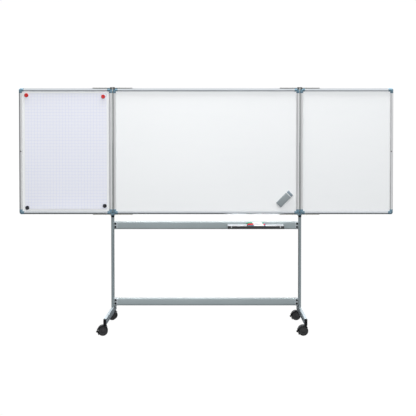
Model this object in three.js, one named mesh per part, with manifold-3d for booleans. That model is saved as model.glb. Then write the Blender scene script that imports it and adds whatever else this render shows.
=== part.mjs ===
// Rolling whiteboard: a fixed centre board on a two-post stand with four casters, and a wing board at
// each side that folds forward over it on double-pivot hinges.
// Millimetres, +Z up, the writing side faces -Y, origin on the floor at the middle of the footprint.
import * as THREE from "three";
import { mergeVertices } from "three/addons/utils/BufferGeometryUtils.js";
import Module from "manifold-3d";

const wasm = await Module();
wasm.setup();

// ---------------------------------------------------------------- driving dimensions
const GAP = 0.3; // clearance between pieces that touch

// Boards: the centre one and the two wings share their height and their plane.
const BOARD_BOTTOM = 890;
const BOARD_HEIGHT = 1012;
const BOARD_TOP = BOARD_BOTTOM + BOARD_HEIGHT;
const BOARD_PLANE_Y = 102; // mid-plane of every board
const CENTRE_WIDTH = 1500;
const WING_WIDTH = 749;
const SEAM = 4; // open joint between two boards

// Frame profile of the boards, measured inward from the outer edge.
const RAIL_FACE = 25;
const RAIL_DEPTH = 20;
const RAIL_ROUND = RAIL_DEPTH / 2; // the outer edge is a full half-round
const RAIL_CROWN = 2.5; // the faces fall away by this much towards the panel
const GROOVE_FLOOR = 15.7; // the groove that takes the panel's tongue starts here
const PANEL_THICKNESS = 7;
const TONGUE_THICKNESS = 5;
const CHAMBER_END = 13.5; // inner end of the profile's hollow chamber
const PROFILE_WALL = 2;

// Corner pieces.
const CORNER_LEG = 39;
const CORNER_ROUND = 16; // radius of the outer corner, seen from the front
const SPIGOT = 20; // how far a corner reaches into a rail's chamber

// Double-pivot hinges.
const PIVOT_INSET = 10; // pivot axis to the board's outer edge
const PIN_RADIUS = 3;
const PIN_BORE_RADIUS = 3.4;
const BARREL_RADIUS = 8;
const NOTCH_WIDTH = 19.2; // the hinge-side corners are cut away over this width
const NOTCH_DEPTH = 10.3;
const PIN_END = 17; // depth of the pin's tip below the board's edge
const PLATE_LENGTH = 158;
const PLATE_THICKNESS = 4;
const PLATE_HALF_WIDTH = 7;
const LINK_CAP_THICKNESS = 4;
const LINK_WEB_HALF_WIDTH = 5;
const LINK_WEB_LENGTH = 6;

// Stand.
const POST_X = 760;
const POST_WIDTH = 20;
const POST_FRONT_Y = 132;
const POST_BACK_Y = 182;
const POST_TOP = 1460;
const TUBE_WALL = 1.5;
const FOOT_BOTTOM = 80;
const FOOT_TOP = 130;
const FOOT_HALF_LENGTH = 285;
const CAP_THICKNESS = 4;
const CAP_PLUG = 15;
const CARRIER_BOTTOM = 950; // steel angle on each post that holds the centre board
const CARRIER_TOP = 1440;
const CARRIER_THICKNESS = 3;
const CARRIER_FACE = 25;
const CARRIER_SIDE_END_Y = 150;

// Crossbars: flat-oval tubes with a sleeve and two bolts at each end.
const CROSSBAR_HEIGHT = 63;
const CROSSBAR_DEPTH = 25;
const CROSSBAR_Y = (POST_FRONT_Y + POST_BACK_Y) / 2;
const UPPER_CROSSBAR_Z = 795.5;
const LOWER_CROSSBAR_Z = 172.5;
const SLEEVE_LENGTH = 30;
const SLEEVE_GROWTH = 0.8;
const BOLT_SPREAD = 13; // bolts sit this far above and below the middle
const BOLT_INSET = 12.5;
const BOLT_HEAD_RADIUS = 7.3;
const BOLT_HEAD_HEIGHT = 4;

// Marker tray on the upper crossbar.
const TRAY_CENTRE_X = 398;
const TRAY_LENGTH = 450;
const TRAY_FRONT_Y = 34;
const TRAY_BOTTOM = 777;
const TRAY_FLOOR_TOP = 790;
const TRAY_LIP_TOP = 799;
const TRAY_BACK_TOP = 805;
const TRAY_WALL = 2.5;

// Casters: twin wheels under a hood, with a brake lever behind.
const CASTER_STEM_Y = 258;
const CASTER_TRAIL = 18;
const SWIVEL_DEG = { front_left: 8, front_right: 0, rear_left: -8, rear_right: 0 };
const WHEEL_RADIUS = 37.5;
const WHEEL_SIDES = 24;
const AXLE_Z = WHEEL_RADIUS * Math.cos(Math.PI / WHEEL_SIDES); // the rim stands on one of its flats
const WHEEL_INNER = 6; // inner face of each wheel, from the middle
const WHEEL_OUTER = 24.2;
const AXLE_RADIUS = 4;
const AXLE_BORE_RADIUS = 4.5;
const HOOD_INNER = 38.9;
const HOOD_OUTER = 41.2;
const HOOD_HALF_WIDTH = 25;
const HOOD_START_DEG = 35;
const HOOD_END_DEG = 160;
const WEB_HALF_WIDTH = 4.7;
const HUB_RADIUS = 11;
const BOSS_RADIUS = 11.5;
const BOSS_TOP = FOOT_BOTTOM - GAP;
const STEM_RADIUS = 5;
const STEM_HOLE_RADIUS = 5.4;
const STEM_TOP = 112;
const BRAKE_PIVOT_RADIUS = 42.5; // brake pivot in polar terms about the axle
const BRAKE_PIVOT_DEG = 167;
const BRAKE_HALF_WIDTH = 13;
const BRAKE_PIN_RADIUS = 2;
const BRAKE_BORE_RADIUS = 2.35;
const KNUCKLE_RADIUS = 3.6;
const BRAKE_END_DEG = 226;

// ---------------------------------------------------------------- materials
function finish(color, roughness, metalness) {
  return new THREE.MeshStandardMaterial({ color, roughness, metalness });
}
const ALUMINIUM = finish(0xc9cfd2, 0.35, 1);
const HINGE_STEEL = finish(0xb9b6ae, 0.4, 1);
const GREY_STEEL = finish(0x8a979b, 0.45, 0.6);
const WHITE_FACE = finish(0xf2f4f3, 0.2, 0);
const CORNER_PLASTIC = finish(0x64849a, 0.5, 0);
const BLACK_PLASTIC = finish(0x141414, 0.5, 0);
const DARK_PLASTIC = finish(0x3a3a3b, 0.55, 0);
const TRAY_METAL = finish(0x9aa0a3, 0.4, 0.8);

// ---------------------------------------------------------------- solids
const AXES = {
  // Where an outline's first and second coordinate and its depth point.
  X: [new THREE.Vector3(0, 1, 0), new THREE.Vector3(0, 0, 1), new THREE.Vector3(1, 0, 0)],
  Y: [new THREE.Vector3(1, 0, 0), new THREE.Vector3(0, 0, 1), new THREE.Vector3(0, -1, 0)],
  Z: [new THREE.Vector3(1, 0, 0), new THREE.Vector3(0, 1, 0), new THREE.Vector3(0, 0, 1)],
};

function solid(geometry) {
  const plain = geometry.index ? geometry.toNonIndexed() : geometry.clone();
  plain.deleteAttribute("normal");
  plain.deleteAttribute("uv");
  const merged = mergeVertices(plain, 1e-4);
  return new wasm.Manifold(
    new wasm.Mesh({
      numProp: 3,
      vertProperties: merged.attributes.position.array,
      triVerts: new Uint32Array(merged.index.array),
    }),
  );
}

function geometryOf(shape) {
  const mesh = shape.getMesh();
  const geometry = new THREE.BufferGeometry();
  geometry.setAttribute("position", new THREE.BufferAttribute(new Float32Array(mesh.vertProperties), 3));
  geometry.setIndex(new THREE.BufferAttribute(new Uint32Array(mesh.triVerts), 1));
  geometry.computeVertexNormals();
  return geometry;
}

function join(...solids) {
  return solids.reduce((sum, next) => sum.add(next));
}

// A prism of an outline, along X, Y or Z, between two places on that axis.
function prism(outline, axis, from, to, holes = []) {
  const clockwise = THREE.ShapeUtils.isClockWise(outline);
  const shape = new THREE.Shape(clockwise ? [...outline].reverse() : outline);
  shape.holes = holes.map((points) => new THREE.Path(points));
  const geometry = new THREE.ExtrudeGeometry(shape, { depth: to - from, bevelEnabled: false });
  geometry.applyMatrix4(new THREE.Matrix4().makeBasis(...AXES[axis]));
  const start = axis === "Y" ? to : from;
  geometry.translate(axis === "X" ? start : 0, axis === "Y" ? start : 0, axis === "Z" ? start : 0);
  return solid(geometry);
}

function block(x0, x1, y0, y1, z0, z1) {
  const geometry = new THREE.BoxGeometry(x1 - x0, y1 - y0, z1 - z0);
  geometry.translate((x0 + x1) / 2, (y0 + y1) / 2, (z0 + z1) / 2);
  return solid(geometry);
}

function polar(radius, degrees, centre = [0, 0]) {
  const angle = THREE.MathUtils.degToRad(degrees);
  return new THREE.Vector2(centre[0] + radius * Math.cos(angle), centre[1] + radius * Math.sin(angle));
}

function arc(centre, radius, fromDeg, toDeg, steps) {
  const points = [];
  for (let i = 0; i <= steps; i++) {
    points.push(polar(radius, fromDeg + ((toDeg - fromDeg) * i) / steps, centre));
  }
  return points;
}

function circle(centre, radius, sides = 12) {
  return arc(centre, radius, 0, 360 - 360 / sides, sides - 1);
}

function rectangle(a0, a1, b0, b1) {
  return [
    new THREE.Vector2(a0, b0),
    new THREE.Vector2(a1, b0),
    new THREE.Vector2(a1, b1),
    new THREE.Vector2(a0, b1),
  ];
}

// An upright flat-oval outline about a centre.
function flatOval(centre, width, height) {
  const radius = width / 2;
  const rise = height / 2 - radius;
  return [
    ...arc([centre[0], centre[1] + rise], radius, 0, 180, 8),
    ...arc([centre[0], centre[1] - rise], radius, 180, 360, 8),
  ];
}

const model = new THREE.Group();

function place(parent, name, shape, material, position = [0, 0, 0], scale = [1, 1, 1]) {
  const mesh = new THREE.Mesh(geometryOf(shape), material);
  mesh.name = name;
  mesh.position.set(...position);
  mesh.scale.set(...scale);
  parent.add(mesh);
  return mesh;
}

// ---------------------------------------------------------------- board frames
// The profile's outline: "u" runs inward from the outer edge, "v" through the thickness.
const half = RAIL_DEPTH / 2;
const grooveHalf = TONGUE_THICKNESS / 2 + GAP;
const lipHalf = half - RAIL_CROWN;
const RAIL_OUTLINE = [
  ...arc([RAIL_ROUND, 0], RAIL_ROUND, 90, 270, 8),
  new THREE.Vector2(RAIL_FACE, -lipHalf),
  new THREE.Vector2(RAIL_FACE, -grooveHalf),
  new THREE.Vector2(GROOVE_FLOOR, -grooveHalf),
  new THREE.Vector2(GROOVE_FLOOR, grooveHalf),
  new THREE.Vector2(RAIL_FACE, grooveHalf),
  new THREE.Vector2(RAIL_FACE, lipHalf),
];

function chamberOutline(inset) {
  const radius = RAIL_ROUND - PROFILE_WALL - inset;
  return [
    ...arc([RAIL_ROUND, 0], radius, 90, 270, 6),
    new THREE.Vector2(CHAMBER_END - inset, -radius),
    new THREE.Vector2(CHAMBER_END - inset, radius),
  ];
}

// Rails run along X (their outline lies in Y and Z), stiles along Z (outline in X and Y).
function rail(length) {
  const turned = (points) => points.map((p) => new THREE.Vector2(p.y, p.x));
  return prism(turned(RAIL_OUTLINE), "X", 0, length, [turned(chamberOutline(0))]);
}

function stile(length) {
  return prism(RAIL_OUTLINE, "Z", 0, length, [chamberOutline(0)]);
}

// A corner with its outer corner at the origin and its legs along +X and +Z.
function cornerPiece(hinged) {
  const turned = (points) => points.map((p) => new THREE.Vector2(p.y, p.x));
  const flat = CORNER_ROUND - RAIL_ROUND;
  const edge = arc([flat, 0], RAIL_ROUND, -90, 90, 8);
  const middle = half - (RAIL_CROWN * flat) / (RAIL_FACE - RAIL_ROUND);
  const profile = [new THREE.Vector2(0, -middle), ...edge, new THREE.Vector2(0, middle)];
  const puck = new THREE.LatheGeometry(profile, 16);
  puck.translate(CORNER_ROUND, 0, CORNER_ROUND);
  const quarter = solid(puck).intersect(block(-1, CORNER_ROUND, -half, half, -1, CORNER_ROUND));
  const overlap = 0.1;
  const legX = prism(turned(RAIL_OUTLINE), "X", CORNER_ROUND - overlap, CORNER_LEG);
  const legZ = prism(RAIL_OUTLINE, "Z", CORNER_ROUND - overlap, CORNER_LEG);
  const reach = CORNER_LEG + SPIGOT;
  const spigotX = prism(turned(chamberOutline(GAP)), "X", CORNER_LEG - 1, reach);
  const spigotZ = prism(chamberOutline(GAP), "Z", CORNER_LEG - 1, reach);
  const groove = block(GROOVE_FLOOR, reach, -grooveHalf, grooveHalf, GROOVE_FLOOR, reach);
  let piece = join(quarter, legX, legZ, spigotX, spigotZ).subtract(groove);
  if (hinged) {
    const notch = block(-1, NOTCH_WIDTH, -half - 1, half + 1, -1, NOTCH_DEPTH);
    const bore = prism(circle([PIVOT_INSET, 0], PIN_BORE_RADIUS), "Z", NOTCH_DEPTH - 1, PIN_END + 1);
    piece = piece.subtract(notch).subtract(bore);
  }
  return piece;
}

// The steel plate along a board's edge, with the pivot pin under its eye.
function hingePlate() {
  const outline = [
    ...arc([PIVOT_INSET, 0], PLATE_HALF_WIDTH, 90, 270, 8),
    new THREE.Vector2(PLATE_LENGTH, -PLATE_HALF_WIDTH),
    new THREE.Vector2(PLATE_LENGTH, PLATE_HALF_WIDTH),
  ];
  const plate = prism(outline, "Z", -GAP - PLATE_THICKNESS, -GAP);
  const pin = prism(circle([PIVOT_INSET, 0], PIN_RADIUS), "Z", -GAP - 1, PIN_END);
  return plate.add(pin);
}

function boardPanel(width) {
  const visible = RAIL_FACE + GAP;
  const edge = GROOVE_FLOOR + GAP;
  const thick = PANEL_THICKNESS / 2;
  const thin = TONGUE_THICKNESS / 2;
  return join(
    block(visible, width - visible, -thick, thick, visible, BOARD_HEIGHT - visible),
    block(edge, width - edge, -thin, thin, edge, BOARD_HEIGHT - edge),
  );
}

// One board with its frame; "hinges" names the sides, left or right, that carry hinge plates.
function buildBoard(name, leftX, width, hinges) {
  const board = new THREE.Group();
  board.position.set(leftX, BOARD_PLANE_Y, BOARD_BOTTOM);
  model.add(board);
  place(board, `${name}_panel`, boardPanel(width), WHITE_FACE);
  const railStart = CORNER_LEG + GAP;
  const railShape = rail(width - 2 * railStart);
  const stileShape = stile(BOARD_HEIGHT - 2 * railStart);
  place(board, `${name}_top_rail`, railShape, ALUMINIUM, [railStart, 0, BOARD_HEIGHT], [1, 1, -1]);
  place(board, `${name}_bottom_rail`, railShape, ALUMINIUM, [railStart, 0, 0]);
  place(board, `${name}_left_stile`, stileShape, ALUMINIUM, [0, 0, railStart]);
  place(board, `${name}_right_stile`, stileShape, ALUMINIUM, [width, 0, railStart], [-1, 1, 1]);
  for (const side of ["left", "right"]) {
    const hinged = hinges.includes(side);
    const corner = cornerPiece(hinged);
    for (const level of ["top", "bottom"]) {
      const position = [side === "left" ? 0 : width, 0, level === "bottom" ? 0 : BOARD_HEIGHT];
      const scale = [side === "left" ? 1 : -1, 1, level === "bottom" ? 1 : -1];
      place(board, `${name}_corner_${level}_${side}`, corner, CORNER_PLASTIC, position, scale);
      if (hinged) {
        const plateName = `${name}_hinge_plate_${level}_${side}`;
        place(board, plateName, hingePlate(), HINGE_STEEL, position, scale);
      }
    }
  }
}

// A hinge link: two barrels in the corners' notches, and a cap over the plates' eyes, joined by a
// web that passes between the eyes. Its pivots lie on X at plus and minus half their spacing.
function hingeLink() {
  const reach = PIVOT_INSET + SEAM / 2;
  const capTop = -2 * GAP - PLATE_THICKNESS;
  const cap = [...arc([-reach, 0], BARREL_RADIUS, 90, 270, 8), ...arc([reach, 0], BARREL_RADIUS, -90, 90, 8)];
  const barrels = [-reach, reach].map((x) =>
    prism(circle([x, 0], BARREL_RADIUS, 16), "Z", 0, NOTCH_DEPTH - GAP),
  );
  const bridge = block(-reach, reach, -LINK_WEB_HALF_WIDTH, LINK_WEB_HALF_WIDTH, 0, NOTCH_DEPTH - GAP);
  const webHalf = LINK_WEB_LENGTH / 2;
  const web = block(-webHalf, webHalf, -LINK_WEB_HALF_WIDTH, LINK_WEB_HALF_WIDTH, capTop - 1, 1);
  const bores = [-reach, reach].map((x) =>
    prism(circle([x, 0], PIN_BORE_RADIUS), "Z", -1, NOTCH_DEPTH + 1),
  );
  const body = join(...barrels, bridge).subtract(join(...bores));
  return join(body, web, prism(cap, "Z", capTop - LINK_CAP_THICKNESS, capTop));
}

function buildLinks() {
  for (const [side, sign] of [["left", -1], ["right", 1]]) {
    const x = sign * (CENTRE_WIDTH / 2 + SEAM / 2);
    place(model, `${side}_link_top`, hingeLink(), BLACK_PLASTIC, [x, BOARD_PLANE_Y, BOARD_TOP], [1, 1, -1]);
    place(model, `${side}_link_bottom`, hingeLink(), BLACK_PLASTIC, [x, BOARD_PLANE_Y, BOARD_BOTTOM]);
  }
}

// ---------------------------------------------------------------- stand
// A post with the steel angle welded to its inner side; built for the right side.
function postShape() {
  const x0 = POST_X - POST_WIDTH / 2;
  const x1 = POST_X + POST_WIDTH / 2;
  const outside = rectangle(x0, x1, POST_FRONT_Y, POST_BACK_Y);
  const w = TUBE_WALL;
  const inside = rectangle(x0 + w, x1 - w, POST_FRONT_Y + w, POST_BACK_Y - w);
  const tube = prism(outside, "Z", FOOT_TOP + GAP, POST_TOP, [inside]);
  const boardBack = BOARD_PLANE_Y + half + GAP;
  const weld = 0.5;
  const t = CARRIER_THICKNESS;
  const sideLeaf = block(x0 - t, x0 + weld, boardBack, CARRIER_SIDE_END_Y, CARRIER_BOTTOM, CARRIER_TOP);
  const faceLeaf = block(x0 - CARRIER_FACE, x0, boardBack, boardBack + t, CARRIER_BOTTOM, CARRIER_TOP);
  return join(tube, sideLeaf, faceLeaf);
}

function footShape() {
  const x0 = -POST_WIDTH / 2;
  const x1 = POST_WIDTH / 2;
  const w = TUBE_WALL;
  const tube = prism(
    rectangle(x0, x1, FOOT_BOTTOM, FOOT_TOP),
    "Y",
    -FOOT_HALF_LENGTH,
    FOOT_HALF_LENGTH,
    [rectangle(x0 + w, x1 - w, FOOT_BOTTOM + w, FOOT_TOP - w)],
  );
  const holes = [-CASTER_STEM_Y, CASTER_STEM_Y].map((y) =>
    prism(circle([0, y], STEM_HOLE_RADIUS), "Z", FOOT_BOTTOM - 1, FOOT_BOTTOM + w + 1),
  );
  return tube.subtract(join(...holes));
}

function capShape() {
  const x = POST_WIDTH / 2;
  const front = -FOOT_HALF_LENGTH - GAP;
  const inner = TUBE_WALL + GAP;
  return join(
    block(-x, x, front - CAP_THICKNESS, front, FOOT_BOTTOM, FOOT_TOP),
    block(-x + inner, x - inner, front - 1, front + CAP_PLUG, FOOT_BOTTOM + inner, FOOT_TOP - inner),
  );
}

function crossbarShape(z) {
  const centre = [CROSSBAR_Y, z];
  const end = POST_X - POST_WIDTH / 2 - GAP;
  const grown = 2 * SLEEVE_GROWTH;
  const outer = flatOval(centre, CROSSBAR_DEPTH, CROSSBAR_HEIGHT);
  const sleeve = flatOval(centre, CROSSBAR_DEPTH + grown, CROSSBAR_HEIGHT + grown);
  const inner = flatOval(centre, CROSSBAR_DEPTH - 2 * TUBE_WALL, CROSSBAR_HEIGHT - 2 * TUBE_WALL);
  const headBack = CROSSBAR_Y - CROSSBAR_DEPTH / 2 - SLEEVE_GROWTH;
  let bar = join(
    prism(outer, "X", -end, end),
    prism(sleeve, "X", -end, -end + SLEEVE_LENGTH),
    prism(sleeve, "X", end - SLEEVE_LENGTH, end),
  ).subtract(prism(inner, "X", -end - 1, end + 1));
  for (const x of [-end + BOLT_INSET, end - BOLT_INSET]) {
    for (const dz of [-BOLT_SPREAD, BOLT_SPREAD]) {
      const head = circle([x, z + dz], BOLT_HEAD_RADIUS);
      bar = bar.add(prism(head, "Y", headBack - BOLT_HEAD_HEIGHT, headBack + 1));
    }
  }
  return bar;
}

function trayShape() {
  const x0 = TRAY_CENTRE_X - TRAY_LENGTH / 2;
  const x1 = TRAY_CENTRE_X + TRAY_LENGTH / 2;
  const back = CROSSBAR_Y - CROSSBAR_DEPTH / 2 - GAP;
  const w = TRAY_WALL;
  const floorBottom = TRAY_FLOOR_TOP - w;
  const section = [
    [TRAY_FRONT_Y, TRAY_BOTTOM],
    [TRAY_FRONT_Y + w, TRAY_BOTTOM],
    [TRAY_FRONT_Y + w, floorBottom],
    [back, floorBottom],
    [back, TRAY_BACK_TOP],
    [back - w, TRAY_BACK_TOP],
    [back - w, TRAY_FLOOR_TOP],
    [TRAY_FRONT_Y + w, TRAY_FLOOR_TOP],
    [TRAY_FRONT_Y + w, TRAY_LIP_TOP],
    [TRAY_FRONT_Y, TRAY_LIP_TOP],
  ].map(([y, z]) => new THREE.Vector2(y, z));
  const overlap = 0.5;
  const ends = [TRAY_FRONT_Y + overlap, back - overlap, floorBottom + overlap, TRAY_LIP_TOP];
  return join(
    prism(section, "X", x0, x1),
    block(x0, x0 + w, ...ends),
    block(x1 - w, x1, ...ends),
  );
}

function buildStand() {
  for (const [side, sign] of [["left", -1], ["right", 1]]) {
    place(model, `${side}_post`, postShape(), GREY_STEEL, [0, 0, 0], [sign, 1, 1]);
    place(model, `${side}_foot_beam`, footShape(), GREY_STEEL, [sign * POST_X, 0, 0]);
    place(model, `${side}_front_end_cap`, capShape(), BLACK_PLASTIC, [sign * POST_X, 0, 0]);
  }
  place(model, "upper_crossbar", crossbarShape(UPPER_CROSSBAR_Z), GREY_STEEL);
  place(model, "lower_crossbar", crossbarShape(LOWER_CROSSBAR_Z), GREY_STEEL);
  place(model, "marker_tray", trayShape(), TRAY_METAL);
}

// ---------------------------------------------------------------- casters
// Every caster is built with its stem on Z at the origin and its wheels trailing towards -X.
const AXLE = [-CASTER_TRAIL, AXLE_Z];
const BRAKE_PIVOT = polar(BRAKE_PIVOT_RADIUS, BRAKE_PIVOT_DEG, AXLE).toArray();

function sector(inner, outer, fromDeg, toDeg, steps) {
  return [...arc(AXLE, outer, fromDeg, toDeg, steps), ...arc(AXLE, inner, toDeg, fromDeg, steps)];
}

// Two wheels turned in one piece with the axle between them.
function wheelPair() {
  const halfProfile = [
    [AXLE_RADIUS, WHEEL_INNER],
    [WHEEL_RADIUS - 3.5, WHEEL_INNER],
    [WHEEL_RADIUS, WHEEL_INNER + 3.5],
    [WHEEL_RADIUS, WHEEL_OUTER - 5],
    [WHEEL_RADIUS - 2, WHEEL_OUTER - 1.2],
    [WHEEL_RADIUS - 6.5, WHEEL_OUTER],
    [WHEEL_RADIUS - 7.5, WHEEL_OUTER - 1.7],
    [14, WHEEL_OUTER - 1.7],
    [12, WHEEL_OUTER],
    [0, WHEEL_OUTER + 0.8],
  ];
  const upper = halfProfile.map(([r, y]) => new THREE.Vector2(r, y));
  const lower = halfProfile.map(([r, y]) => new THREE.Vector2(r, -y)).reverse();
  const wheels = new THREE.LatheGeometry([...lower, ...upper], WHEEL_SIDES, Math.PI / WHEEL_SIDES);
  wheels.translate(AXLE[0], 0, AXLE[1]);
  return solid(wheels);
}

// The hood over the wheels, the web between them that holds the axle, and the stem.
function casterFork() {
  const width = HOOD_HALF_WIDTH;
  const hood = prism(sector(HOOD_INNER - 2, HOOD_OUTER, HOOD_START_DEG, HOOD_END_DEG, 10), "Y", -width, width);
  const boss = prism(circle([0, 0], BOSS_RADIUS, 16), "Z", 50, BOSS_TOP);
  const wheelRoom = prism(circle(AXLE, HOOD_INNER, 32), "Y", -width - 1, width + 1);
  const webOutline = [
    ...arc(AXLE, HOOD_INNER + 1, HOOD_START_DEG, BRAKE_PIVOT_DEG - 3, 10),
    ...arc(AXLE, HUB_RADIUS, 225, 335, 5),
  ];
  const web = prism(webOutline, "Y", -WEB_HALF_WIDTH, WEB_HALF_WIDTH);
  const tongue = prism(circle(BRAKE_PIVOT, KNUCKLE_RADIUS), "Y", -WEB_HALF_WIDTH, WEB_HALF_WIDTH);
  const neckOutline = sector(HOOD_INNER - 4, HOOD_OUTER + 2, HOOD_END_DEG - 4, BRAKE_PIVOT_DEG, 2);
  const neck = prism(neckOutline, "Y", -WEB_HALF_WIDTH, WEB_HALF_WIDTH);
  const brakePin = prism(circle(BRAKE_PIVOT, BRAKE_PIN_RADIUS), "Y", -BRAKE_HALF_WIDTH, BRAKE_HALF_WIDTH);
  const stem = prism(circle([0, 0], STEM_RADIUS), "Z", BOSS_TOP - 5, STEM_TOP);
  const axleBore = prism(circle(AXLE, AXLE_BORE_RADIUS), "Y", -width, width);
  const shell = hood.add(boss).subtract(wheelRoom);
  return join(shell, web, tongue, neck, brakePin, stem).subtract(axleBore);
}

// The brake lever: two knuckles on the pin, a curved shoe behind the wheels, a toe tip and a heel.
function brakeLever() {
  const w = BRAKE_HALF_WIDTH;
  const shoe = sector(HOOD_INNER + 0.1, BRAKE_PIVOT_RADIUS + 0.5, BRAKE_PIVOT_DEG + 2, BRAKE_END_DEG, 8);
  const tip = [AXLE[0] - 48.5, AXLE[1] - 8];
  const toe = [polar(BRAKE_PIVOT_RADIUS, 178, AXLE), polar(3, 150, tip), polar(3, 240, tip), polar(40, 200, AXLE)];
  const heel = polar(BRAKE_PIVOT_RADIUS, BRAKE_END_DEG - 4, AXLE).toArray();
  const slotHalf = WEB_HALF_WIDTH + 0.7;
  const lever = join(
    prism(shoe, "Y", -w, w),
    prism(toe, "Y", -w, w),
    prism(circle(tip, 3), "Y", -w, w),
    prism(circle(heel, 3.2), "Y", -w, w),
    prism(circle(BRAKE_PIVOT, KNUCKLE_RADIUS), "Y", -w, w),
  );
  const slot = prism(circle(BRAKE_PIVOT, KNUCKLE_RADIUS + 1.6, 16), "Y", -slotHalf, slotHalf);
  const bore = prism(circle(BRAKE_PIVOT, BRAKE_BORE_RADIUS, 16), "Y", -w - 1, w + 1);
  return lever.subtract(slot).subtract(bore);
}

function buildCasters() {
  for (const [spot, degrees] of Object.entries(SWIVEL_DEG)) {
    const caster = new THREE.Group();
    const x = spot.endsWith("left") ? -POST_X : POST_X;
    const y = spot.startsWith("front") ? -CASTER_STEM_Y : CASTER_STEM_Y;
    caster.position.set(x, y, 0);
    caster.rotation.z = THREE.MathUtils.degToRad(degrees);
    model.add(caster);
    place(caster, `caster_${spot}_fork`, casterFork(), DARK_PLASTIC);
    place(caster, `caster_${spot}_wheels`, wheelPair(), DARK_PLASTIC);
    place(caster, `caster_${spot}_brake`, brakeLever(), BLACK_PLASTIC);
  }
}

// ---------------------------------------------------------------- assembly
const seamToWing = CENTRE_WIDTH / 2 + SEAM;
buildBoard("centre", -CENTRE_WIDTH / 2, CENTRE_WIDTH, ["left", "right"]);
buildBoard("left_wing", -seamToWing - WING_WIDTH, WING_WIDTH, ["right"]);
buildBoard("right_wing", seamToWing, WING_WIDTH, ["left"]);
buildLinks();
buildStand();
buildCasters();

export default model;
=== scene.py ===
import math

import bmesh
import bpy
from mathutils import Matrix, Vector


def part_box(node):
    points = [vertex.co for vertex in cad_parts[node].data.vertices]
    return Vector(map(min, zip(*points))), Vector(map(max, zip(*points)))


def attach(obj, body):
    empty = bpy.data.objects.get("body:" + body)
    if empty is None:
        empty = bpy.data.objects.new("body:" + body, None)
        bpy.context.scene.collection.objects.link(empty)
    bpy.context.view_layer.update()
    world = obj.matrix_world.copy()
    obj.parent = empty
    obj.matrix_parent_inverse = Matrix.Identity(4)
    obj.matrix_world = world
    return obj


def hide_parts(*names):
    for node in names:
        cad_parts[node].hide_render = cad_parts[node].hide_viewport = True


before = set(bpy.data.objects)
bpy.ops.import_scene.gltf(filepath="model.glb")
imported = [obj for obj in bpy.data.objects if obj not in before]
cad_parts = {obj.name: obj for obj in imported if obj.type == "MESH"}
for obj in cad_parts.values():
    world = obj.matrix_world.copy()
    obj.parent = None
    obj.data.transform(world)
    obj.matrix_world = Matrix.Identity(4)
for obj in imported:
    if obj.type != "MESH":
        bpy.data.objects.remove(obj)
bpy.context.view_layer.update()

MM = 0.001
SIDES = {"left": -1, "right": 1}

# ---- camera and lights
FOCAL_PX = 740.2  # focal length in pixels of the 416 x 416 image
IMAGE_PX = 416
CAMERA_PLACE = Vector((0.093, -5.853, 1.400))
CAMERA_PITCH_DEG = -1.148
AXIS_PX = (217.67, 165.67)  # where the camera's own axis falls in the image
CAMERA_SENSOR_MM = 36.0
CAMERA_REACH = 100

SKY_SIDE = Vector((0.35, -0.55, 0.76))  # the studio's bright side: above, in front and to the right
SKY_STOPS = ((0.42, (0.075, 0.083, 0.088, 1)), (0.85, (0.95, 0.97, 1.0, 1)))  # away from it and towards it
SKY_STRENGTH = 0.9
BACKDROP_COLOR = (1.1, 1.15, 1.2, 1)
BACKDROP_SPAN = (("Y", 0.70, 0.93), ("Z", 0.0, 0.16))  # directions that see the pale wall behind
WHITE = 1.01  # strength of the floor and the background
FLOOR_REACH = 30.0

# Area lights: place, point faced, size in metres, power in watts.
LIGHTS = {
    "key": ((0.9, -4.8, 4.0), (0, 0, 1.1), (3.0, 2.0), 72),
    "back": ((0.8, 5.0, 3.0), (0, 0, 1.1), (3.0, 2.0), 70),
    "fill": ((-1.0, -5.2, 1.8), (0.2, 0, 1.1), (2.4, 2.0), 44),
    "top": ((0, 0.15, 5.0), (0, 0.15, 0.6), (4.5, 1.2), 700),
}


def set_inputs(node, **values):
    """Constant values straight on a node's sockets, written with underscores for spaces."""
    for key, value in values.items():
        node.inputs[key.replace("_", " ")].default_value = value
    return node


def make_camera():
    data = bpy.data.cameras.new("camera")
    camera = bpy.data.objects.new("camera", data)
    bpy.context.scene.collection.objects.link(camera)
    data.sensor_width = CAMERA_SENSOR_MM
    data.lens = FOCAL_PX / IMAGE_PX * data.sensor_width
    data.clip_end = CAMERA_REACH
    pitch = math.radians(CAMERA_PITCH_DEG)
    camera.location = CAMERA_PLACE
    camera.rotation_euler = (math.pi / 2 + pitch, 0, 0)
    half = IMAGE_PX / 2
    data.shift_x = (half - AXIS_PX[0]) / IMAGE_PX
    data.shift_y = (AXIS_PX[1] - half) / IMAGE_PX
    bpy.context.scene.camera = camera


def area_light(name, place, target, size, power):
    """A light that neither the camera nor a reflection sees: metals reflect the world alone."""
    data = bpy.data.lights.new(name, "AREA")
    data.shape = "RECTANGLE"
    data.size, data.size_y = size
    data.energy = power
    light = bpy.data.objects.new(name, data)
    light.location = place
    light.rotation_euler = (Vector(target) - Vector(place)).to_track_quat("-Z", "Y").to_euler()
    bpy.context.scene.collection.objects.link(light)
    light.visible_camera = False
    light.visible_glossy = False


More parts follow.
